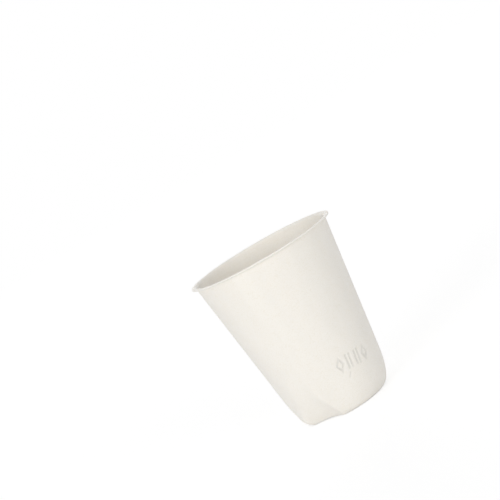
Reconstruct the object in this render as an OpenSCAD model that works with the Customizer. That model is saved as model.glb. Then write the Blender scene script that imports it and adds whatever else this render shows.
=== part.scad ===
// A drinking cup moulded in one piece from sugar-cane pulp.
// The cup stands on the table plane z = 0, its axis is Z, and its front is towards -Y.

/* [Cup] */
// Outside diameter across the lip
rim_d = 80; // [70:1:90]
// Height from the table to the top of the lip
cup_h = 91; // [70:1:110]
// Thickness of the moulded wall, lip and base
wall = 0.8; // [0.5:0.05:1.6]
// Lean of the wall from upright, in degrees
lean = 7.3; // [5.5:0.1:9.5]

/* [Lip] */
// How far the lip stands out from the wall's outer face, carried up to the top
lip_out = 2.15; // [1.5:0.05:4]
// Radius under the lip where the wall turns outwards
lip_bend = 0.8; // [0.4:0.1:1.2]
// Rounding of the lip's trimmed edge
lip_edge = 0.3; // [0.1:0.05:0.5]

/* [Heel] */
// How far the rounded heel reaches in from the wall
heel_across = 8.3; // [7:0.1:11]
// How far the heel's oval reaches up the wall
heel_up = 30; // [22:1:34]

/* [Base] */
// Width of the flat ring that the cup stands on
foot_w = 2.6; // [1.5:0.1:5]
// Height of the base's underside above the table
base_rise = 1.6; // [1.3:0.1:3]
// Slope of the step between the ring and the raised base, in degrees
step_slope = 50; // [35:1:60]
// Radius under the base where it turns down into the step
base_bend = 0.8; // [0.5:0.1:1.2]
// Radius inside the cup where the step meets the gutter
gutter_bend = 0.6; // [0.3:0.1:1]

/* [Dent in the heel] */
// Turn of the dent from the front towards the left, in degrees
dent_turn = 37.5; // [15:0.5:75]
// Height at which the dent runs out on the wall
dent_h = 22.5; // [16:0.5:27]
// How far the dent lifts the standing ring off the table
dent_lift = 1; // [0.4:0.1:1.8]
// Radius of the hollow across the dent
dent_round = 25; // [14:1:40]
// How far the dent's deepest line bows outwards from straight
dent_bow = 1.3; // [0.4:0.1:2]

/* [Pressed marks] */
// Number of marks in the row: a diamond at each end, and pairs of bars between them
mark_count = 4; // [3:1:6]
// Turn of the row of marks from the front towards the right, in degrees
mark_turn = 27; // [0:1:60]
// Height of the row's middle above the table
mark_z = 23.8; // [23:0.1:60]
// Fall of the row towards its right end, in degrees
mark_fall = 5.5; // [0:0.5:12]
// Distance from one mark to the next, round the wall
mark_pitch = 5.2; // [4.8:0.1:8]
// Height of a diamond mark
mark_h = 9; // [5:0.1:9.6]
// Width of a diamond mark
mark_w = 4.6; // [3.6:0.1:4.8]
// Height of a pair of bars
bar_h = 8; // [4:0.1:9]
// Distance from one bar of a pair to the other, between their middles
bar_apart = 2; // [1.6:0.1:2.4]
// Width of a pressed line
mark_line = 1.1; // [0.5:0.1:1.4]
// Depth of a pressed line
mark_depth = 0.35; // [0.1:0.05:0.4]

/* [Hidden] */
$fn = 96;
// Direction of the front, round the axis
front = -90;
// Steps along a small bend and along the heel's oval
bend_steps = 6;
heel_steps = 18;
// What a cutting tool overlaps past the skin
over = 1;
// How far the dent's bar runs on past each end of the dent, in degrees of its bow
dent_past_foot = 9;
dent_past_top = 1.5;

rim_r = rim_d / 2;
slope = tan(lean);
// Radius of the wall's outer face at a height, carried on past lip and heel
function wall_r(z) = rim_r - lip_out - slope * (cup_h - z);

// The heel is a quarter oval that leaves the ring level and meets the wall without a corner
heel_end = atan2(heel_across, slope * heel_up);
ring_out = wall_r(heel_up) - sqrt(pow(heel_across, 2) + pow(slope * heel_up, 2));
ring_in = ring_out - foot_w;

// The step rises from the ring to the base between two bends
gutter_r = wall + gutter_bend;
step_bends = base_bend + gutter_r;
step_run = (base_rise - step_bends * (1 - cos(step_slope))) / tan(step_slope);
base_r = ring_in - step_bends * sin(step_slope) - step_run;

// Under the lip, the centre of the bend is where wall and lip are both one radius away
lip_under = cup_h - wall;
lip_touch = lip_under - lip_bend * (1 - sin(lean));
lip_c = [wall_r(lip_touch) + lip_bend * cos(lean), lip_under - lip_bend];

// The skin's outer face is a list of pairs: a place, and the direction straight out of the pulp there.
// Along a bend the pulp lies inside the arc for side = 1 and outside it for side = -1.
function bend(c, r, from, to, side) = [
    for (i = [0 : bend_steps])
        let (a = from + (to - from) * i / bend_steps, d = [cos(a), sin(a)])
        [c + r * d, side * d]
];

function heel() = [
    for (i = [0 : heel_steps])
        let (
            a = heel_end * i / heel_steps,
            out = [heel_up * sin(a), -heel_across * cos(a)]
        )
        [[ring_out + heel_across * sin(a), heel_up * (1 - cos(a))], out / norm(out)]
];

skin = concat(
    [[[0, base_rise], [0, -1]]],
    bend([base_r, base_rise - base_bend], base_bend, 90, 90 - step_slope, -1),
    bend([ring_in, gutter_r], gutter_r, 270 - step_slope, 270, 1),
    heel(),
    bend(lip_c, lip_bend, 180 - lean, 90, -1)
);
outer_face = [for (p = skin) p[0]];
inner_face = [for (i = [len(skin) - 1 : -1 : 0]) skin[i][0] - wall * skin[i][1]];

// The trimmed edge of the lip, rounded above and below
edge_c = [rim_r - lip_edge, lip_under + lip_edge];
edge_top_c = [rim_r - lip_edge, cup_h - lip_edge];
trimmed_edge = [
    for (p = concat(bend(edge_c, lip_edge, -90, 0, 1), bend(edge_top_c, lip_edge, 0, 90, 1)))
        p[0]
];

// The dent's deepest line is an arc from the ring's inner edge up to the wall
dent_foot = [ring_in, dent_lift];
dent_top = [wall_r(dent_h), dent_h];
dent_line = dent_top - dent_foot;
dent_chord = norm(dent_line);
dent_r = pow(dent_chord, 2) / (8 * dent_bow) + dent_bow / 2;
dent_in = [-dent_line[1], dent_line[0]] / dent_chord;
dent_c = (dent_foot + dent_top) / 2 + (dent_r - dent_bow) * dent_in;
dent_from = atan2(dent_foot[1] - dent_c[1], dent_foot[0] - dent_c[0]);
dent_arc = 2 * asin(dent_chord / 2 / dent_r);

// How far the slanting row of marks can reach above and below its middle
mark_drop = mark_count * mark_pitch / 2 * tan(mark_fall);
mark_reach = max(mark_h, bar_h) / 2 + mark_drop + over;

// The plain round form: base, heel, wall and lip, one wall thick
module turned_shell() {
    rotate_extrude() polygon(concat(outer_face, trimmed_edge, inner_face));
}

// The same outside, filled up to the lip
module filled_form() {
    rotate_extrude() polygon(concat(outer_face, trimmed_edge, [[0, cup_h]]));
}

// A round bar, bowed like the dent's deepest line, that lies along it outside the cup.
// grow thickens it. It ends just past the place where the dent runs out on the wall.
module dent_bar(grow) {
    rotate([0, 0, front - dent_turn])
        translate([dent_c[0], 0, dent_c[1]])
            rotate([90, 0, 0])
                rotate([0, 0, dent_from - dent_past_foot])
                    rotate_extrude(angle = dent_past_foot + dent_arc + dent_past_top)
                        translate([dent_r + dent_round, 0])
                            circle(r = dent_round + grow);
}

// Outline of one mark: a diamond frame, or a pair of upright bars
module mark_outline(framed) {
    if (framed) {
        inner = 1 - 2 * mark_line * norm([mark_w, mark_h]) / (mark_w * mark_h);
        difference() {
            diamond(mark_w, mark_h);
            diamond(mark_w * inner, mark_h * inner);
        }
    } else {
        for (side = [-1, 1])
            translate([side * bar_apart / 2, 0])
                square([mark_line, bar_h], center = true);
    }
}

module diamond(w, h) {
    polygon([[w / 2, 0], [0, h / 2], [-w / 2, 0], [0, -h / 2]]);
}

// What the row of marks takes out of the wall
module mark_grooves() {
    intersection() {
        mark_layer();
        for (i = [0 : mark_count - 1]) {
            along = (i - (mark_count - 1) / 2) * mark_pitch;
            z = mark_z - along * tan(mark_fall);
            rotate([0, 0, front + mark_turn + along / wall_r(mark_z) * 180 / PI])
                translate([wall_r(z), 0, z])
                    rotate([0, lean, 0])
                        rotate([90, 0, 90])
                            rotate([0, 0, -mark_fall])
                                linear_extrude(height = 2 * over, center = true)
                                    mark_outline(i == 0 || i == mark_count - 1);
        }
    }
}

// The sleeve round the wall that the grooves reach into, as deep as a pressed line
module mark_layer() {
    low = mark_z - mark_reach;
    high = mark_z + mark_reach;
    deep = mark_depth / cos(lean);
    rotate_extrude() polygon([
        [wall_r(low) - deep, low],
        [wall_r(low) + over, low],
        [wall_r(high) + over, high],
        [wall_r(high) - deep, high]
    ]);
}

// The whole cup: the skin follows the dent inwards at its full thickness
module cup() {
    color([0.94, 0.92, 0.88]) difference() {
        union() {
            turned_shell();
            intersection() {
                filled_form();
                dent_bar(wall);
            }
        }
        dent_bar(0);
        mark_grooves();
    }
}

cup();
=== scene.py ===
# The looks of a drinking cup moulded in one piece from plant pulp.
# Lengths are in metres. The cup stands on z = 0, its axis is Z, and its front faces -Y.

import math

import bpy
import numpy as np
from mathutils import Matrix, Vector, noise


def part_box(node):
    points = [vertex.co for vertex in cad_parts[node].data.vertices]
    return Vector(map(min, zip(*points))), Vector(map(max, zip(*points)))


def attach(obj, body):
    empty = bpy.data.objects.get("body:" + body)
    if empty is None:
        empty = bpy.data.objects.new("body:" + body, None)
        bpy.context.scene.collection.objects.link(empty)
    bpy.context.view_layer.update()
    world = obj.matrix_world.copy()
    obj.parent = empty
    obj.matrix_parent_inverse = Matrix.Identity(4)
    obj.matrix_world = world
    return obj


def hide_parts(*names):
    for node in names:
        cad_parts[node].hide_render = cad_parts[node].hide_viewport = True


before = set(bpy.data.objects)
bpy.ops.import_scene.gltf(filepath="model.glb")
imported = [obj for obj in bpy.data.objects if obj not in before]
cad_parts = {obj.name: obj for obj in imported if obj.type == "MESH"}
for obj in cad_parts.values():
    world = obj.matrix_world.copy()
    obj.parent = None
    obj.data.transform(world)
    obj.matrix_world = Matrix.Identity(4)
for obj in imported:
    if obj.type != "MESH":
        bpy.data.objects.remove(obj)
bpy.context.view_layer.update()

CUP_LOW, CUP_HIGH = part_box("cup")
MM = 0.001
FRONT = math.radians(-90)
WHITE = (1.0, 1.0, 1.0, 1.0)

bl_info = {
    "name": "Moulded Pulp Cup",
    "version": (1, 0, 0),
    "blender": (4, 5, 0),
    "location": "3D View > Sidebar > Pulp Cup",
    "description": "Makes a drinking cup moulded from plant pulp, and a stage for it",
    "category": "Add Mesh",
}


def length_property(name, description, default):
    """A length in metres that a user can change."""
    return bpy.props.FloatProperty(
        name=name, description=description, default=default,
        min=0.0, precision=5, unit="LENGTH", subtype="DISTANCE",
    )


def angle_property(name, description, degrees):
    """An angle that a user can change. Its default is given in degrees."""
    return bpy.props.FloatProperty(
        name=name, description=description, default=math.radians(degrees),
        unit="ROTATION", subtype="ANGLE",
    )


def colour_property(name, description, default):
    """A colour that a user can change."""
    return bpy.props.FloatVectorProperty(
        name=name, description=description, default=default,
        size=3, min=0.0, max=1.0, subtype="COLOR",
    )


def amount_property(name, description, default, top=1.0):
    """A plain number that a user can change."""
    return bpy.props.FloatProperty(
        name=name, description=description, default=default, min=0.0, max=top,
    )


class CupForm(bpy.types.PropertyGroup):
    """Sizes of the plain round cup"""

    rim_across: length_property(
        "Width", "Outside diameter across the lip", round(CUP_HIGH.x - CUP_LOW.x, 4))
    height: length_property(
        "Height", "Height from the table to the top of the lip", round(CUP_HIGH.z, 4))
    wall: length_property("Wall", "Thickness of the pulp", 0.8 * MM)
    lean: angle_property("Lean", "Lean of the wall from upright", 7.3)
    lip_out: length_property(
        "Lip", "How far the lip stands out from the wall, carried up to the top", 2.15 * MM)
    lip_bend: length_property("Lip bend", "Radius under the lip", 0.8 * MM)
    lip_edge: length_property("Lip edge", "Rounding of the trimmed edge", 0.3 * MM)
    heel_across: length_property(
        "Heel across", "How far the rounded heel reaches in from the wall", 8.3 * MM)
    heel_up: length_property("Heel up", "How far the heel's oval reaches up", 30 * MM)
    foot_width: length_property("Standing ring", "Width of the flat ring", 2.6 * MM)
    base_rise: length_property("Base rise", "Height of the base above the table", 1.6 * MM)
    step_slope: angle_property("Step slope", "Slope of the step up to the base", 50)
    base_bend: length_property("Base bend", "Radius where the base turns down", 0.8 * MM)
    gutter_bend: length_property("Gutter bend", "Radius inside the gutter", 0.6 * MM)


class CupDent(bpy.types.PropertyGroup):
    """The dent in the heel, left of the front"""

    turn: angle_property("Turn", "Turn from the front towards the left", 37.5)
    top: length_property("Top", "Height at which the dent runs out", 22.5 * MM)
    lift: length_property("Lift", "How far it lifts the standing ring", 1.0 * MM)
    hollow: length_property("Hollow", "Radius of the hollow across the dent", 25 * MM)
    bow: length_property("Bow", "How far its deepest line bows outwards", 1.3 * MM)
    crease: length_property("Crease", "Softness of the sharp right-hand edge", 0.9 * MM)
    fade: length_property("Fade", "Softness of the left-hand edge", 1.6 * MM)
    bulge: length_property("Bulge", "How far the heel swells beside the dent", 1.0 * MM)
    bulge_turn: angle_property("Bulge turn", "Turn of the swelling towards the left", 66)
    bulge_up: length_property("Bulge height", "Height of the swelling", 3.5 * MM)
    bulge_wide: length_property("Bulge width", "Width of the swelling", 8 * MM)
    bulge_tall: length_property("Bulge reach", "Reach of the swelling up and down", 4 * MM)


class CupMarks(bpy.types.PropertyGroup):
    """The row of small pressed marks, right of the front: pairs of bars between two diamonds"""

    count: bpy.props.IntProperty(
        name="Marks", description="Number of marks; the first and last are diamonds",
        default=4, min=2, max=6)
    turn: angle_property("Turn", "Turn of the row from the front towards the right", 27)
    up: length_property("Height", "Height of the row's middle", 23.8 * MM)
    fall: angle_property("Fall", "Fall of the row towards its right end", 5.5)
    pitch: length_property("Pitch", "Distance from one mark to the next", 5.2 * MM)
    tall: length_property("Mark height", "Height of a diamond", 9.0 * MM)
    wide: length_property("Mark width", "Width of a diamond", 4.6 * MM)
    bar_tall: length_property("Bar height", "Height of a bar", 8.0 * MM)
    pair: length_property("Pair", "Distance between the two bars of a pair", 2.0 * MM)
    line: length_property("Line", "Width of a pressed line", 1.1 * MM)
    depth: length_property("Depth", "Depth of a pressed line", 0.35 * MM)
    shoulder: length_property("Shoulder", "Slope's width beside a pressed line", 0.4 * MM)
    uneven: amount_property(
        "Unevenness", "How much of a line's depth is missing at its faintest places", 0.4)
    patch: length_property("Patch", "Size of the faint and the clear places", 1.5 * MM)
    hair_turn: angle_property("Hairline turn", "Turn of the hairline below the row", 16.4)
    hair_up: length_property("Hairline height", "Height of the hairline's middle", 17.8 * MM)
    hair_long: length_property("Hairline length", "Length of the hairline", 2.4 * MM)
    hair_lean: angle_property("Hairline lean", "Lean of the hairline to the right", 33)
    hair_wide: length_property("Hairline width", "Width of the hairline", 0.6 * MM)
    hair_depth: length_property("Hairline depth", "Depth of the hairline", 0.25 * MM)


class PulpFinish(bpy.types.PropertyGroup):
    """The surface of the pulp"""

    pulp: colour_property("Pulp", "Colour of the pulp", (0.90, 0.87, 0.817))
    fibre: colour_property("Fibre", "Colour of the coarser fibres", (0.80, 0.75, 0.64))
    speck: colour_property("Speck", "Colour of the few bark specks", (0.52, 0.42, 0.28))
    roughness: amount_property("Roughness", "Roughness of the surface", 0.82)
    glow: amount_property("Glow", "Share of the light that goes into the pulp", 0.4)
    glow_reach: length_property("Glow reach", "How far light spreads in the pulp", 0.8 * MM)
    relief: length_property("Relief", "Depth of the felted texture", 0.085 * MM)
    wave: length_property("Wave", "How far the wall wanders from round", 0.09 * MM)
    wave_long: length_property("Wave length", "Length of those waves round the wall", 24 * MM)
    wave_upright: amount_property(
        "Wave stretch", "How many times as long the waves are up the wall", 3.0, top=10.0)
    lump: length_property("Lump", "Height of the small unevenness", 0.022 * MM)
    lump_long: length_property("Lump size", "Size of the small unevenness", 5 * MM)
    trim: length_property("Trim", "Unevenness of the lip's height", 0.1 * MM)
    seed: bpy.props.IntProperty(name="Seed", description="Seed of the unevenness", default=7)


class CupStage(bpy.types.PropertyGroup):
    """Floor, lamps and camera"""

    floor: length_property("Floor", "Width of the floor", 6.0)
    floor_white: amount_property("Floor white", "Share of light that the floor gives back", 0.95)
    floor_shown: amount_property("Floor shown", "The same share where the floor is seen", 0.45)
    floor_lift: amount_property("Floor lift", "Added to the floor where it is seen", 0.67)
    sky: amount_property("Sky", "Strength of the even light", 0.62)
    key: amount_property("Key", "Light that the main lamp gives a face turned to it", 0.32)
    key_turn: angle_property("Key turn", "Turn of the main lamp towards the left", 40)
    fill: amount_property("Fill", "Light that the second lamp gives a face turned to it", 0.17)
    fill_turn: angle_property("Fill turn", "Turn of the second lamp towards the right", 27)
    back: amount_property("Back", "Light that the lamp behind gives a face turned to it", 0.25)
    lamps_up: angle_property("Lamp height", "Height of the lamps above the horizon", 10)
    lamps_soft: angle_property("Lamp softness", "Width of each lamp in the sky", 30)
    focal: bpy.props.FloatProperty(
        name="Lens", description="Focal length", default=100.0, unit="CAMERA")
    distance: length_property("Distance", "From the camera to what it aims at", 706.5 * MM)
    look_down: angle_property("Look down", "How far the camera looks down", 6.35)
    roll: angle_property("Roll", "Turn of the camera about its view", 30.26)
    aim: bpy.props.FloatVectorProperty(
        name="Aim", description="Point at the middle of the picture",
        default=(-4.05 * MM, 0, 93.5 * MM), size=3, unit="LENGTH", subtype="TRANSLATION")


# Shape of the section

# From one row of the mesh to the next: where the dent and the marks are, and elsewhere
FINE_STEP = 0.34 * MM
PLAIN_STEP = 1.5 * MM
# The fine rows reach from the standing ring up to this height, and a little past both ends
FINE_TOP = 29.5 * MM
FINE_MARGIN = 1.0 * MM
# A run gets one more row only where more than this share of a step is left over
ROW_SLACK = 0.3
# Steps along a small bend, and along the heel's oval
BEND_STEPS = 8
HEEL_STEPS = 58
# Every second row is enough on the inside
INSIDE_THIN = 2
# Steps round the axis, and how much they crowd together round the dent and the marks
TURN_STEPS = 312
CROWDING = 0.60
CROWDED_TURN = FRONT + math.radians(-6)


def wall_radius(form, z):
    """Radius of the wall's outer face at height z, carried on past lip and heel."""
    return form.rim_across / 2 - form.lip_out - math.tan(form.lean) * (form.height - z)


def ring_radii(form):
    """Radii of the standing ring's inner and outer edge."""
    outer = wall_radius(form, form.heel_up) - math.hypot(
        form.heel_across, math.tan(form.lean) * form.heel_up)
    return outer - form.foot_width, outer


def bend(centre, radius, start, end, side):
    """Rows along an arc: radius, height, and the direction straight out of the pulp.
    The pulp lies inside the arc for side 1 and outside it for side -1."""
    turn = np.linspace(math.radians(start), math.radians(end), BEND_STEPS + 1)
    out = np.column_stack([np.cos(turn), np.sin(turn)])
    return np.hstack([np.array(centre) + radius * out, side * out])


def heel(form, ring_out):
    """Rows along the heel: a quarter oval, level at the ring, up to where it meets the wall."""
    end = math.atan2(form.heel_across, math.tan(form.lean) * form.heel_up)
    turn = np.linspace(0, end, HEEL_STEPS + 1)
    place = np.column_stack([
        ring_out + form.heel_across * np.sin(turn),
        form.heel_up * (1 - np.cos(turn)),
    ])
    out = np.column_stack([form.heel_up * np.sin(turn), -form.heel_across * np.cos(turn)])
    return np.hstack([place, out / np.linalg.norm(out, axis=1)[:, None]])


def fill_runs(rows, ring_in):
    """Adds rows along the straight runs, closer together where the dent and the marks are."""
    filled = [rows[:1]]
    for a, b in zip(rows, rows[1:]):
        low = max(a[1], b[1]) <= FINE_TOP + FINE_MARGIN
        fine = low and a[0] >= ring_in - FINE_MARGIN
        step = FINE_STEP if fine else PLAIN_STEP
        count = max(1, math.ceil(np.linalg.norm(b[:2] - a[:2]) / step - ROW_SLACK))
        share = np.arange(1, count + 1)[:, None] / count
        filled.append(a + (b - a) * share)
    return np.vstack(filled)


def section_rows(form):
    """The section from the middle of the underside, round the lip, to the middle of the floor.
    Returns the places (radius, height) and how far each belongs to the inside, from 0 to 1."""
    wall = form.wall
    ring_in, ring_out = ring_radii(form)
    slope = math.degrees(form.step_slope)
    lean = math.degrees(form.lean)

    gutter = wall + form.gutter_bend
    bends = form.base_bend + gutter
    run = (form.base_rise - bends * (1 - math.cos(form.step_slope))) / math.tan(form.step_slope)
    base = ring_in - bends * math.sin(form.step_slope) - run

    under = form.height - wall
    touch = under - form.lip_bend * (1 - math.sin(form.lean))
    lip_in = wall_radius(form, touch) + form.lip_bend * math.cos(form.lean)
    edge = form.rim_across / 2 - form.lip_edge

    wall_out = [math.cos(form.lean), -math.sin(form.lean)]
    outer = np.vstack([
        [[0, form.base_rise, 0, -1]],
        bend((base, form.base_rise - form.base_bend), form.base_bend, 90, 90 - slope, -1),
        bend((ring_in, gutter), gutter, 270 - slope, 270, 1),
        heel(form, ring_out),
        [[wall_radius(form, FINE_TOP), FINE_TOP, *wall_out]],
        bend((lip_in, under - form.lip_bend), form.lip_bend, 180 - lean, 90, -1),
    ])
    outer = fill_runs(outer, ring_in)
    trimmed = np.vstack([
        bend((edge, under + form.lip_edge), form.lip_edge, -90, 0, 1),
        bend((edge, form.height - form.lip_edge), form.lip_edge, 0, 90, 1),
    ])
    inner = outer[::-INSIDE_THIN]
    if (len(outer) - 1) % INSIDE_THIN:
        inner = np.vstack([inner, outer[:1]])
    places = np.vstack([outer[:, :2], trimmed[:, :2], inner[:, :2] - wall * inner[:, 2:]])
    inside = np.concatenate([
        np.zeros(len(outer)), np.linspace(0, 1, len(trimmed)), np.ones(len(inner))])
    return places, inside


# Node trees

class Tree:
    """A node tree that is built line by line."""

    def __init__(self, tree):
        self.tree = tree

    def add(self, kind, inputs=(), **settings):
        """Adds a node, sets it up, and joins or sets its inputs, given by name or number."""
        node = self.tree.nodes.new(kind)
        for name, value in settings.items():
            setattr(node, name, value)
        for key, value in dict(inputs).items():
            self.feed(node.inputs[key], value)
        return node

    def feed(self, socket, value):
        """Joins a socket to another node's output, or sets its value."""
        if isinstance(value, bpy.types.Node):
            value = value.outputs[0]
        if isinstance(value, bpy.types.NodeSocket):
            self.tree.links.new(value, socket)
        else:
            socket.default_value = value

    def maths(self, operation, a, b=0.0, c=0.0, clamp=False):
        """A Math node."""
        return self.add(
            "ShaderNodeMath", {0: a, 1: b, 2: c}, operation=operation, use_clamp=clamp)

    def vector(self, operation, a, b=None, scale=None):
        """A Vector Math node."""
        node = self.add("ShaderNodeVectorMath", {0: a}, operation=operation)
        if b is not None:
            self.feed(node.inputs[1], b)
        if scale is not None:
            self.feed(node.inputs["Scale"], scale)
        return node


def emptied_tree(block):
    """The node tree of a material or of the world, emptied."""
    block.use_nodes = True
    block.node_tree.nodes.clear()
    return Tree(block.node_tree)


# The turned skin

# The kind of socket for each kind of value that the tree is given
SOCKET_KINDS = {
    int: "NodeSocketInt",
    float: "NodeSocketFloat",
    bpy.types.Material: "NodeSocketMaterial",
}
# Points closer together than this are joined
WELD = 0.002 * MM
# The waves die out towards the axis inside this radius
WAVE_FADE = 20 * MM
# The trim's unevenness dies out this far below the lip, and its features are this long
TRIM_FADE = 5 * MM
TRIM_LONG = 18 * MM
# Levels of finer noise in each kind of unevenness
WAVE_DETAIL = 1.5
TRIM_DETAIL = 1.0
LUMP_DETAIL = 2.0
# Added to the seed, so that the trim and the lumps don't follow the waves
TRIM_SEED = 5.0
LUMP_SEED = 11.0


def skin_values(form, finish, material):
    """What the tree of the skin is given: the name of each input, and its value."""
    return {
        "Turn steps": TURN_STEPS,
        "Crowding": CROWDING,
        "Crowded turn": CROWDED_TURN,
        "Weld": WELD,
        "Wave": finish.wave,
        "Wave length": finish.wave_long,
        "Wave stretch": finish.wave_upright,
        "Wave fade": WAVE_FADE,
        "Trim": finish.trim,
        "Trim length": TRIM_LONG,
        "Trim fade": TRIM_FADE,
        "Lip height": form.height,
        "Lump": finish.lump,
        "Lump size": finish.lump_long,
        "Seed": float(finish.seed),
        "Material": material,
    }


def turned_skin_tree(values):
    """A tree that turns the section's points round the axis, and then makes the pulp uneven."""
    group = bpy.data.node_groups.new("turned_pulp_skin", "GeometryNodeTree")
    group.interface.new_socket("Geometry", in_out="INPUT", socket_type="NodeSocketGeometry")
    for name, value in values.items():
        kind = SOCKET_KINDS[type(value)]
        group.interface.new_socket(name, in_out="INPUT", socket_type=kind)
    group.interface.new_socket("Geometry", in_out="OUTPUT", socket_type="NodeSocketGeometry")
    t = Tree(group)
    given = t.add("NodeGroupInput").outputs
    skin = uneven_skin(t, given, turned_skin(t, given))
    skin = t.add("GeometryNodeSetShadeSmooth", {"Geometry": skin})
    skin = t.add("GeometryNodeRealizeInstances", {"Geometry": skin})
    skin = t.add("GeometryNodeSetMaterial", {"Geometry": skin, "Material": given["Material"]})
    t.add("NodeGroupOutput", {0: skin})
    return group


def turned_skin(t, given):
    """Turns the section's points round the axis, and joins the ends."""
    # One column of the grid for each step round the axis, one row for each point of the section
    rows = t.add("GeometryNodeAttributeDomainSize", {0: given["Geometry"]}).outputs["Point Count"]
    columns = t.maths("ADD", given["Turn steps"], 1)
    grid = t.add("GeometryNodeMeshGrid", {
        "Size X": 1.0, "Size Y": 1.0, "Vertices X": columns, "Vertices Y": rows})
    flat = t.add("ShaderNodeSeparateXYZ", {0: t.add("GeometryNodeInputPosition")})
    row = t.maths("ADD", flat.outputs["Y"], 0.5)
    row = t.maths("MULTIPLY", row, t.maths("SUBTRACT", rows, 1))
    row = t.maths("ROUND", row)

    def on_section(value, kind):
        """What the section holds at this row."""
        node = t.add("GeometryNodeSampleIndex", {
            "Geometry": given["Geometry"], "Index": row,
        }, data_type=kind, domain="POINT", clamp=True)
        t.feed(node.inputs["Value"], value)
        return node

    place = on_section(t.add("GeometryNodeInputPosition"), "FLOAT_VECTOR")
    noted = t.add("GeometryNodeInputNamedAttribute", {"Name": "inside"}, data_type="FLOAT")
    inside = on_section(noted.outputs["Attribute"], "FLOAT")

    # The columns crowd together round one side
    whole = t.maths("MULTIPLY", flat.outputs["X"], 2 * math.pi)
    crowd = t.maths("MULTIPLY", t.maths("SINE", whole), given["Crowding"])
    turn = t.maths("ADD", t.maths("SUBTRACT", whole, crowd), given["Crowded turn"])
    turned = t.add("ShaderNodeVectorRotate", {
        "Vector": place, "Axis": (0, 0, 1), "Angle": turn}, rotation_type="AXIS_ANGLE")
    stored = t.add("GeometryNodeStoreNamedAttribute", {
        "Geometry": grid.outputs["Mesh"], "Name": "inside"}, data_type="FLOAT", domain="POINT")
    t.feed(stored.inputs["Value"], inside)
    skin = t.add("GeometryNodeSetPosition", {"Geometry": stored, "Position": turned})
    return t.add("GeometryNodeMergeByDistance", {"Geometry": skin, "Distance": given["Weld"]})


def soft_noise(t, long, seed, detail, upright=1.0):
    """Noise from -1 to 1, with features of the given length, drawn out upright."""
    drawn = t.add("ShaderNodeCombineXYZ", {0: 1.0, 1: 1.0, 2: upright})
    node = t.add("ShaderNodeTexNoise", {
        "Vector": t.vector("DIVIDE", t.add("GeometryNodeInputPosition"), drawn),
        "Scale": t.maths("DIVIDE", 1.0, long),
        "Detail": detail,
        "W": seed,
    }, noise_dimensions="4D")
    return t.maths("MULTIPLY_ADD", node.outputs[0], 2.0, -1.0)


def uneven_skin(t, given, skin):
    """Gives the skin slow waves, an uneven lip and small lumps."""
    here = t.add("ShaderNodeSeparateXYZ", {0: t.add("GeometryNodeInputPosition")})
    level = t.add("ShaderNodeCombineXYZ", {0: here.outputs["X"], 1: here.outputs["Y"]})
    radius = t.vector("LENGTH", level).outputs["Value"]
    fade = t.maths("DIVIDE", radius, given["Wave fade"], clamp=True)
    wave = soft_noise(t, given["Wave length"], given["Seed"], WAVE_DETAIL, given["Wave stretch"])
    wave = t.maths("MULTIPLY", wave, given["Wave"])
    wave = t.maths("MULTIPLY", wave, fade)
    shift = t.vector("SCALE", t.vector("NORMALIZE", level), scale=wave)

    below = t.maths("SUBTRACT", given["Lip height"], here.outputs["Z"])
    below = t.maths("DIVIDE", below, given["Trim fade"])
    near = t.maths("SUBTRACT", 1.0, below, clamp=True)
    seed = t.maths("ADD", given["Seed"], TRIM_SEED)
    rise = soft_noise(t, given["Trim length"], seed, TRIM_DETAIL)
    rise = t.maths("MULTIPLY", rise, given["Trim"])
    rise = t.maths("MULTIPLY", rise, near)
    lifted = t.vector("ADD", shift, t.add("ShaderNodeCombineXYZ", {2: rise}))
    skin = t.add("GeometryNodeSetPosition", {"Geometry": skin, "Offset": lifted})

    seed = t.maths("ADD", given["Seed"], LUMP_SEED)
    lump = soft_noise(t, given["Lump size"], seed, LUMP_DETAIL)
    lump = t.maths("MULTIPLY", lump, given["Lump"])
    above = t.maths("DIVIDE", here.outputs["Z"], given["Lump size"], clamp=True)
    lump = t.maths("MULTIPLY", lump, above)
    push = t.vector("SCALE", t.add("GeometryNodeInputNormal"), scale=lump)
    return t.add("GeometryNodeSetPosition", {"Geometry": skin, "Offset": push})


def section_mesh(places, inside):
    """The section as a line of points, with how far each belongs to the inside."""
    mesh = bpy.data.meshes.new("cup_section")
    points = [(r, 0, z) for r, z in places]
    mesh.from_pydata(points, [(i, i + 1) for i in range(len(points) - 1)], [])
    mesh.attributes.new("inside", "FLOAT", "POINT").data.foreach_set("value", inside)
    return mesh


def turned_cup(form, finish, material):
    """The round cup as a plain mesh, turned by the node tree."""
    source = bpy.data.objects.new("cup_section", section_mesh(*section_rows(form)))
    bpy.context.scene.collection.objects.link(source)
    modifier = source.modifiers.new("Turned pulp skin", "NODES")
    values = skin_values(form, finish, material)
    group = turned_skin_tree(values)
    modifier.node_group = group
    for item in group.interface.items_tree:
        if item.in_out == "INPUT" and item.name in values:
            modifier[item.identifier] = values[item.name]
    depsgraph = bpy.context.evaluated_depsgraph_get()
    mesh = bpy.data.meshes.new_from_object(source.evaluated_get(depsgraph), depsgraph=depsgraph)
    source.modifiers.remove(modifier)
    bpy.data.objects.remove(source)
    return mesh


# Dent and marks

# The dent's edge changes from the soft left one to the sharp right one across its middle,
# over this share of the hollow's radius
EDGE_CHANGE = 0.25
# How far along its own bow the bar that makes the dent lies
BAR_TURN = math.radians(36)
# How faint a mark is between a clear patch and a faint one, from 0 to 1
HALF_FAINT = 0.5


def soft_max(a, b, soft):
    """The larger of a and b, with the change between them rounded over a width soft."""
    share = np.clip(0.5 + 0.5 * (a - b) / soft, 0, 1)
    return b + (a - b) * share + soft * share * (1 - share)


def smooth_step(x):
    """0 below 0, 1 above 1, and an even S between."""
    x = np.clip(x, 0, 1)
    return x * x * (3 - 2 * x)


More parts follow.
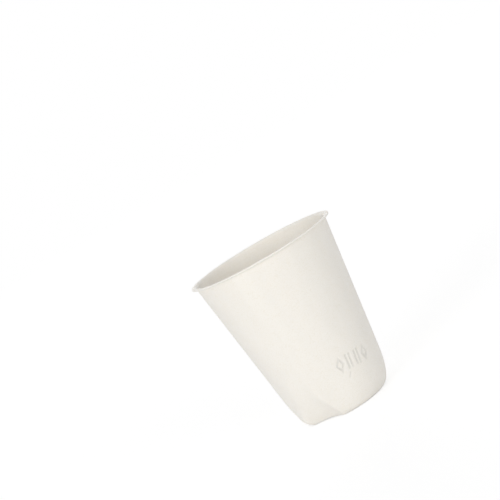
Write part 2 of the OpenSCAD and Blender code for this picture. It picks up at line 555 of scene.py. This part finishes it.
def press_dent(points, inside, form, dent):
    """Pushes both faces of the heel inwards, out of a bowed round bar that lies against it."""
    turn = FRONT - dent.turn
    out = points[:, 0] * math.cos(turn) + points[:, 1] * math.sin(turn)
    side = points[:, 1] * math.cos(turn) - points[:, 0] * math.sin(turn)

    ring_in = ring_radii(form)[0]
    foot = np.array([ring_in, dent.lift])
    top = np.array([wall_radius(form, dent.top), dent.top])
    line = top - foot
    chord = np.linalg.norm(line)
    radius = chord ** 2 / (8 * dent.bow) + dent.bow / 2
    inwards = np.array([-line[1], line[0]]) / chord
    centre = (foot + top) / 2 + (radius - dent.bow) * inwards

    # The bar's middle line is an arc round the centre. A point lies bar beyond that arc, side
    # beside the arc's plane, and apart from the line itself.
    from_centre = np.hypot(out - centre[0], points[:, 2] - centre[1])
    turn_up = np.arctan2(points[:, 2] - centre[1], out - centre[0])
    bar = from_centre - radius - dent.hollow
    apart = np.hypot(bar, side)
    clear = dent.hollow + form.wall * inside
    sharp = smooth_step(side / (dent.hollow * EDGE_CHANGE) + 0.5)
    soft = dent.fade + (dent.crease - dent.fade) * sharp
    pushed = soft_max(apart, clear, soft)

    # Only where the bar really lies: beside the heel, and not round the far side of its circle
    foot_turn = math.atan2(foot[1] - centre[1], foot[0] - centre[0])
    near = (np.abs(turn_up - foot_turn) < BAR_TURN) & (out > 0)
    grow = np.where(near & (apart > 0), pushed / np.maximum(apart, MM), 1)
    bar, side = bar * grow, side * grow
    from_centre = bar + radius + dent.hollow
    out = centre[0] + from_centre * np.cos(turn_up)
    points[:, 0] = out * math.cos(turn) - side * math.sin(turn)
    points[:, 1] = out * math.sin(turn) + side * math.cos(turn)
    points[:, 2] = centre[1] + from_centre * np.sin(turn_up)


def turned_from(points, turn):
    """How far each point is turned on from one side of the cup, within half a turn each way."""
    away = np.arctan2(points[:, 1], points[:, 0]) - turn
    return (away + math.pi) % (2 * math.pi) - math.pi


def swell_heel(points, dent):
    """Lets the heel swell a little to the left of the dent."""
    radius = np.hypot(points[:, 0], points[:, 1])
    across = turned_from(points, FRONT - dent.bulge_turn) * radius / dent.bulge_wide
    along = (points[:, 2] - dent.bulge_up) / dent.bulge_tall
    off_axis = smooth_step(radius / dent.bulge_wide - 1)
    swell = dent.bulge * np.exp(-(across ** 2 + along ** 2)) * off_axis
    grow = 1 + swell / np.maximum(radius, MM)
    points[:, 0] *= grow
    points[:, 1] *= grow


def wall_place(points, turn, up, form):
    """How far each point lies to the right of and above a place on the wall, along the wall."""
    right = turned_from(points, turn) * wall_radius(form, up)
    above = (points[:, 2] - up) / math.cos(form.lean)
    return right, above


def turned_back(x, y, angle):
    """Places seen from a frame that is turned clockwise by an angle."""
    cos, sin = math.cos(angle), math.sin(angle)
    return x * cos - y * sin, x * sin + y * cos


def to_diamond(x, y, marks):
    """Distance from the middle of a diamond frame's line."""
    corner = math.hypot(marks.wide, marks.tall)
    inset = 1 - marks.line * corner / (marks.wide * marks.tall)
    edge = np.abs(x) / (marks.wide / 2) + np.abs(y) / (marks.tall / 2) - inset
    return np.abs(edge) * marks.wide * marks.tall / 2 / corner


def to_bar(x, y, tall):
    """Distance from the middle line of an upright bar with round ends."""
    return np.hypot(x, np.maximum(np.abs(y) - tall / 2, 0))


def to_pair(x, y, marks):
    """Distance from the nearer middle line of two bars side by side."""
    return to_bar(np.abs(x) - marks.pair / 2, y, marks.bar_tall - marks.line)


def groove(distance, line, shoulder):
    """Depth of a pressed line, from 0 to 1: flat in the middle, with soft shoulders."""
    return smooth_step(1 - (distance - line / 2 + shoulder / 2) / shoulder)


def unevenly(depth, points, marks):
    """The same depths, fainter in small soft patches, as pulp takes a mark."""
    faint = np.zeros(len(depth))
    for i in np.nonzero(depth)[0]:
        faint[i] = HALF_FAINT + noise.noise(Vector(points[i]) / marks.patch)
    return depth * (1 - marks.uneven * smooth_step(faint))


def marks_depth(points, inside, form, marks):
    """Depth of the row of marks, and of the hairline below it, at each point."""
    depth = np.zeros(len(points))
    for i in range(marks.count):
        along = (i - (marks.count - 1) / 2) * marks.pitch
        up = marks.up - along * math.tan(marks.fall)
        turn = FRONT + marks.turn + along / wall_radius(form, marks.up)
        x, y = wall_place(points, turn, up, form)
        x, y = turned_back(x, y, marks.fall)
        framed = i in (0, marks.count - 1)
        away = to_diamond(x, y, marks) if framed else to_pair(x, y, marks)
        depth = np.maximum(depth, marks.depth * groove(away, marks.line, marks.shoulder))

    x, y = wall_place(points, FRONT + marks.hair_turn, marks.hair_up, form)
    x, y = turned_back(x, y, marks.hair_lean)
    away = to_bar(x, y, marks.hair_long)
    depth += marks.hair_depth * smooth_step(1 - away / marks.hair_wide)
    return unevenly(depth * (inside == 0), points, marks)


def dress_cup(mesh, form, dent, marks):
    """Presses the dent and the marks into the turned cup, and notes where the marks are, so that
    the material can darken them with denser pulp and painted shade.
    """
    count = len(mesh.vertices)
    points = np.zeros(count * 3)
    mesh.vertices.foreach_get("co", points)
    points = points.reshape(-1, 3)
    inside = np.zeros(count)
    mesh.attributes["inside"].data.foreach_get("value", inside)

    depth = marks_depth(points, inside, form, marks)
    radius = np.maximum(np.hypot(points[:, 0], points[:, 1]), MM)
    for axis in (0, 1):
        points[:, axis] -= points[:, axis] / radius * depth * math.cos(form.lean)
    points[:, 2] += depth * math.sin(form.lean)
    swell_heel(points, dent)
    press_dent(points, inside, form, dent)

    mesh.vertices.foreach_set("co", points.ravel())
    # Where the marks are, from 0 to 1: the material paints shade into these grooves, as well as
    # the denser pulp's darker tone
    pressed = mesh.attributes.new("pressed", "FLOAT", "POINT")
    pressed.data.foreach_set("value", np.clip(depth / marks.depth, 0, 1))
    mesh.update()


# Materials

# How far red, green and blue light spread in the pulp, next to each other
GLOW_SPREAD = (1.0, 0.96, 0.9)
# How much light the surface mirrors, and the soft sheen of its fibre ends
SHINE = 0.35
SHEEN = 0.25
SHEEN_SOFTNESS = 0.5
# Six directions for the fibres, so that some lie in the surface wherever it faces
FIBRE_TURNS = ((0, 0, 15), (0, 0, 75), (0, 62, 20), (0, -48, 100), (75, 30, 0), (40, 80, 160))
# Sizes of the pattern, in millimetres
FIBRE_LONG = 2.6
FIBRE_THICK = 0.17
CLOUD_WIDE = 12.0
CLOUD_LONG = 36.0
SPECK_APART = 6.0
SPECK_WIDE = 0.22
GRAIN = 0.28
SCREEN_PITCH = 0.95
SCREEN_RADIUS = 30.0
# How far the fibres are bent, in millimetres, and how many bends there are to a millimetre
FIBRE_BEND = 1.6
BENDS = 0.45
# From one layer of fibres to the next in the noise, so that no two layers are alike
LAYER_SHIFT = (7.3, 3.1, 5.7)
# How many features of the noise lie along one fibre, and how strong its finer part is
FIBRE_SCALE = 0.5
FIBRE_ROUGH = 0.4
# Levels of finer noise in each pattern
FIBRE_DETAIL = 1.0
BEND_DETAIL = 1.0
CLOUD_DETAIL = 3.0
GRAIN_DETAIL = 2.0
# Where a soft step starts and ends: from felt to a coarser fibre, from thin pulp to full,
# and from a leaning face to a flat one
THREAD_STEP = (0.62, 0.74)
CLOUD_STEP = (0.32, 0.62)
FLAT_STEP = (0.6, 0.8)
# How much of its own colour a coarser fibre, a speck and a pressed line shows. A pressed line's
# colour is partly denser pulp and partly painted shade in its groove
FIBRE_SHARE = 0.42
SPECK_SHARE = 0.5
PRESSED_PULP_AND_GROOVE_SHADE_SHARE = 0.72
# How bright thin pulp and the pressed lines are, next to the pulp's own colour. The pressed lines'
# darkness is partly denser pulp and partly painted shade in the grooves
THIN_SHADE = 0.98
PRESSED_PULP_AND_GROOVE_SHADE = 0.8
# Height of the grain and of the screen's print, next to that of the fibres
GRAIN_HEIGHT = 0.35
SCREEN_HEIGHT = 0.12


def shaded(colour, brightness):
    """The colour, made darker."""
    return tuple(brightness * part for part in colour)


def mix_colours(t, share, a, b):
    """A Mix node for colours: share 0 gives a, and 1 gives b."""
    node = t.add("ShaderNodeMix", data_type="RGBA")
    t.feed(node.inputs["Factor"], share)
    sockets = [s for s in node.inputs if s.type == "RGBA"]
    for socket, value in zip(sockets, (a, b)):
        t.feed(socket, (*value, 1) if isinstance(value, tuple) else value)
    return [s for s in node.outputs if s.type == "RGBA"][0]


def ramp(t, value, low, high):
    """A soft step from 0 at low to 1 at high."""
    return t.add("ShaderNodeMapRange", {
        "Value": value, "From Min": low, "From Max": high}, interpolation_type="SMOOTHSTEP")


def bent_place(t, place):
    """The place, bent a little, so that none of the fibres is a straight line."""
    # The noise's three parts lie round 0.5
    bending = t.add("ShaderNodeTexNoise", {
        "Vector": place, "Scale": BENDS, "Detail": BEND_DETAIL})
    bent = t.vector("SUBTRACT", bending.outputs["Color"], (0.5, 0.5, 0.5))
    return t.vector("ADD", place, t.vector("SCALE", bent, scale=FIBRE_BEND))


def fibre_layer(t, place, degrees, number):
    """Short streaks that run along one direction in space."""
    turned = t.add("ShaderNodeMapping", {
        "Vector": place,
        "Location": tuple(number * shift for shift in LAYER_SHIFT),
        "Rotation": tuple(math.radians(d) for d in degrees),
    }, vector_type="POINT")
    squeezed = t.vector("MULTIPLY", turned, (1 / FIBRE_LONG, 1 / FIBRE_THICK, 1 / FIBRE_THICK))
    return t.add("ShaderNodeTexNoise", {
        "Vector": squeezed, "Scale": FIBRE_SCALE, "Detail": FIBRE_DETAIL,
        "Roughness": FIBRE_ROUGH}).outputs[0]


def felted_fibres(t, place):
    """Height of the felted fibres, and how much a coarser fibre shows at each place."""
    felt = 0.0
    threads = 0.0
    for number, degrees in enumerate(FIBRE_TURNS, start=1):
        layer = fibre_layer(t, place, degrees, number)
        felt = t.maths("MAXIMUM", layer, felt)
        threads = t.maths("MAXIMUM", ramp(t, layer, *THREAD_STEP), threads)
    return felt, threads


def screen_print(t, place):
    """The faint print that the forming screen leaves on the inside: fine rows round and up."""
    here = t.add("ShaderNodeSeparateXYZ", {0: place})
    x, y, z = (here.outputs[k] for k in "XYZ")
    round_it = t.maths("MULTIPLY", t.maths("ARCTAN2", y, x), SCREEN_RADIUS)
    facing = t.add("ShaderNodeSeparateXYZ", {0: t.add("ShaderNodeTexCoord").outputs["Normal"]})
    flat = ramp(t, t.maths("ABSOLUTE", facing.outputs["Z"]), *FLAT_STEP)

    def wires(way):
        """The print of wires that lie side by side along one way."""
        return t.maths("SINE", t.maths("MULTIPLY", way, 2 * math.pi / SCREEN_PITCH))

    print_height = t.add("ShaderNodeMix", {
        "Factor": flat,
        "A": t.maths("ADD", wires(round_it), wires(z)),
        "B": t.maths("ADD", wires(x), wires(y)),
    }, data_type="FLOAT")
    return t.maths("MULTIPLY", print_height, SCREEN_HEIGHT)


def pulp_colour(t, place, bent, threads, finish):
    """Warm white in slow clouds, with coarser fibres and a few specks, and darker in the pressed
    lines: partly denser pulp, partly painted shade in the grooves.
    """
    upright = t.vector("MULTIPLY", place, (1 / CLOUD_WIDE, 1 / CLOUD_WIDE, 1 / CLOUD_LONG))
    cloud = t.add("ShaderNodeTexNoise", {
        "Vector": upright, "Scale": 1.0, "Detail": CLOUD_DETAIL}).outputs[0]
    pulp = tuple(finish.pulp)
    colour = mix_colours(t, ramp(t, cloud, *CLOUD_STEP), shaded(pulp, THIN_SHADE), pulp)
    share = t.maths("MULTIPLY", threads, FIBRE_SHARE)
    colour = mix_colours(t, share, colour, tuple(finish.fibre))

    spots = t.add("ShaderNodeTexVoronoi", {"Vector": bent, "Scale": 1 / SPECK_APART})
    beside = ramp(t, spots.outputs["Distance"], 0.0, SPECK_WIDE / SPECK_APART)
    share = t.maths("MULTIPLY", t.maths("SUBTRACT", 1.0, beside), SPECK_SHARE)
    colour = mix_colours(t, share, colour, tuple(finish.speck))

    # Painted shade: the pressed lines are darkened in colour, partly for denser pulp and partly
    # for the shade in their grooves
    pressed = t.add("ShaderNodeAttribute", attribute_name="pressed").outputs["Fac"]
    share = t.maths("MULTIPLY", pressed, PRESSED_PULP_AND_GROOVE_SHADE_SHARE)
    return mix_colours(t, share, colour, shaded(pulp, PRESSED_PULP_AND_GROOVE_SHADE))


def pulp_height(t, place, felt):
    """Height of the surface: the felted fibres, a fine grain, and the print on the inside."""
    grain = t.add("ShaderNodeTexNoise", {
        "Vector": place, "Scale": 1 / GRAIN, "Detail": GRAIN_DETAIL}).outputs[0]
    height = t.maths("ADD", felt, t.maths("MULTIPLY", grain, GRAIN_HEIGHT))
    inside = t.add("ShaderNodeAttribute", attribute_name="inside").outputs["Fac"]
    return t.maths("ADD", height, t.maths("MULTIPLY", screen_print(t, place), inside))


def pulp_material(finish):
    """Pressed plant pulp: warm white, with fine fibres, a few specks and a felted surface."""
    material = bpy.data.materials.new("moulded_pulp_finish")
    t = emptied_tree(material)
    # The pattern is laid out in millimetres
    place = t.add("ShaderNodeTexCoord").outputs["Object"]
    place = t.vector("SCALE", place, scale=1 / MM)
    bent = bent_place(t, place)
    felt, threads = felted_fibres(t, bent)
    bump = t.add("ShaderNodeBump", {
        "Strength": 1.0, "Distance": finish.relief, "Height": pulp_height(t, place, felt)})
    shader = t.add("ShaderNodeBsdfPrincipled", {
        "Base Color": pulp_colour(t, place, bent, threads, finish),
        "Roughness": finish.roughness,
        "Specular IOR Level": SHINE,
        "Sheen Weight": SHEEN,
        "Sheen Roughness": SHEEN_SOFTNESS,
        "Sheen Tint": WHITE,
        "Subsurface Weight": finish.glow,
        "Subsurface Scale": finish.glow_reach,
        "Subsurface Radius": GLOW_SPREAD,
        "Normal": bump,
    })
    t.add("ShaderNodeOutputMaterial", {0: shader})
    return material


def seen_rays(t):
    """1 for the rays that show a background: seen directly, mirrored, or through glass."""
    rays = t.add("ShaderNodeLightPath").outputs
    mirrored = t.maths("MAXIMUM", rays["Is Glossy Ray"], rays["Is Transmission Ray"])
    return t.maths("MAXIMUM", rays["Is Camera Ray"], mirrored)


def floor_material(stage):
    """A pale floor that shows as white, and keeps the cup's shadow."""
    material = bpy.data.materials.new("pale_floor")
    t = emptied_tree(material)
    seen = seen_rays(t)
    given = t.maths("MULTIPLY_ADD", seen, stage.floor_shown - stage.floor_white, stage.floor_white)
    grey = t.add("ShaderNodeCombineColor", {0: given, 1: given, 2: given})
    body = t.add("ShaderNodeBsdfDiffuse", {"Color": grey})
    lift = t.maths("MULTIPLY", seen, stage.floor_lift)
    glow = t.add("ShaderNodeEmission", {"Color": WHITE, "Strength": lift})
    both = t.add("ShaderNodeAddShader", {0: body, 1: glow})
    t.add("ShaderNodeOutputMaterial", {0: both})
    return material


# Stage

# The floor lies this far under the standing ring, so that the two faces don't coincide
FLOOR_GAP = 0.05 * MM
# The camera sees what lies between these distances
VIEW_NEAR = 0.01
VIEW_FAR = 20.0


def add_floor(stage):
    """The floor that the cup stands on."""
    half = stage.floor / 2
    mesh = bpy.data.meshes.new("floor")
    low = -FLOOR_GAP
    corners = [(-half, -half, low), (half, -half, low), (half, half, low), (-half, half, low)]
    mesh.from_pydata(corners, [], [(0, 1, 2, 3)])
    mesh.materials.append(floor_material(stage))
    floor = bpy.data.objects.new("floor", mesh)
    bpy.context.scene.collection.objects.link(floor)


def add_sky(stage):
    """Even light from all round, and a white background."""
    world = bpy.data.worlds.new("plain_white")
    t = emptied_tree(world)
    strength = t.maths("MULTIPLY_ADD", seen_rays(t), 1.0 - stage.sky, stage.sky)
    light = t.add("ShaderNodeBackground", {"Color": WHITE, "Strength": strength})
    t.add("ShaderNodeOutputWorld", {0: light})
    bpy.context.scene.world = world


def add_lamp(name, stage, turn, light):
    """A wide, soft lamp far away. A white face turned to it gains that much light."""
    lamp = bpy.data.lights.new(name, "SUN")
    lamp.energy = light * math.pi
    lamp.angle = stage.lamps_soft
    side = FRONT - turn
    level = math.cos(stage.lamps_up)
    place = Vector((
        math.cos(side) * level,
        math.sin(side) * level,
        math.sin(stage.lamps_up),
    ))
    holder = bpy.data.objects.new(name, lamp)
    holder.rotation_euler = place.to_track_quat("Z", "Y").to_euler()
    holder.location = place
    bpy.context.scene.collection.objects.link(holder)


def add_camera(stage):
    """The camera at the picture's viewing angle: it looks down a little, and is rolled."""
    lens = bpy.data.cameras.new("view")
    lens.lens = stage.focal
    lens.clip_start = VIEW_NEAR
    lens.clip_end = VIEW_FAR
    ahead = Vector((0, math.cos(stage.look_down), -math.sin(stage.look_down)))
    above = Vector((0, math.sin(stage.look_down), math.cos(stage.look_down)))
    right = Vector((1, 0, 0))
    cos, sin = math.cos(stage.roll), math.sin(stage.roll)
    axes = (cos * right - sin * above, sin * right + cos * above, -ahead)
    place = Vector(stage.aim) - ahead * stage.distance
    camera = bpy.data.objects.new("view", lens)
    camera.matrix_world = Matrix.Translation(place) @ Matrix(axes).transposed().to_4x4()
    bpy.context.scene.collection.objects.link(camera)
    bpy.context.scene.camera = camera


# Add-on

class PULPCUP_OT_set_stage(bpy.types.Operator):
    """Sets the floor, the light and the camera"""

    bl_idname = "pulp_cup.set_stage"
    bl_label = "Set Stage"
    bl_options = {"REGISTER", "UNDO"}

    def execute(self, context):
        stage = context.scene.pulp_cup_stage
        add_floor(stage)
        add_sky(stage)
        add_lamp("key", stage, stage.key_turn, stage.key)
        add_lamp("fill", stage, -stage.fill_turn, stage.fill)
        add_lamp("back", stage, math.pi, stage.back)
        add_camera(stage)
        context.scene.view_settings.view_transform = "Standard"
        return {"FINISHED"}


class PULPCUP_OT_mould_cup(bpy.types.Operator):
    """Moulds the cup, with its dent and its pressed marks, in the place of the packed solid"""

    bl_idname = "pulp_cup.mould_cup"
    bl_label = "Mould Cup"
    bl_options = {"REGISTER", "UNDO"}

    def execute(self, context):
        scene = context.scene
        form = scene.pulp_cup_form
        finish = scene.pulp_cup_finish
        mesh = turned_cup(form, finish, pulp_material(finish))
        dress_cup(mesh, form, scene.pulp_cup_dent, scene.pulp_cup_marks)
        mesh.name = "moulded_cup"
        cup = bpy.data.objects.new("moulded_cup", mesh)
        scene.collection.objects.link(cup)
        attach(cup, "root")
        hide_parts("cup")
        return {"FINISHED"}


class PULPCUP_PT_panel(bpy.types.Panel):
    """Lists the steps and the sizes that can be changed"""

    bl_idname = "PULPCUP_PT_panel"
    bl_label = "Moulded Pulp Cup"
    bl_space_type = "VIEW_3D"
    bl_region_type = "UI"
    bl_category = "Pulp Cup"

    def draw(self, context):
        layout = self.layout
        for operator in OPERATORS:
            layout.operator(operator.bl_idname)
        for name, group in GROUPS.items():
            box = layout.box()
            box.label(text=group.__doc__)
            for key in group.__annotations__:
                box.prop(getattr(context.scene, name), key)


GROUPS = {
    "pulp_cup_form": CupForm,
    "pulp_cup_dent": CupDent,
    "pulp_cup_marks": CupMarks,
    "pulp_cup_finish": PulpFinish,
    "pulp_cup_stage": CupStage,
}
OPERATORS = (PULPCUP_OT_set_stage, PULPCUP_OT_mould_cup)
CLASSES = (*GROUPS.values(), *OPERATORS, PULPCUP_PT_panel)


def register():
    """Registers the classes, and the settings that each scene holds."""
    for kind in CLASSES:
        bpy.utils.register_class(kind)
    for name, group in GROUPS.items():
        setattr(bpy.types.Scene, name, bpy.props.PointerProperty(type=group))


def unregister():
    """Takes back what register did."""
    for name in GROUPS:
        delattr(bpy.types.Scene, name)
    for kind in reversed(CLASSES):
        bpy.utils.unregister_class(kind)


def main():
    """Makes the stage and the cup."""
    register()
    bpy.ops.pulp_cup.set_stage()
    bpy.ops.pulp_cup.mould_cup()


if __name__ == "__main__":
    main()
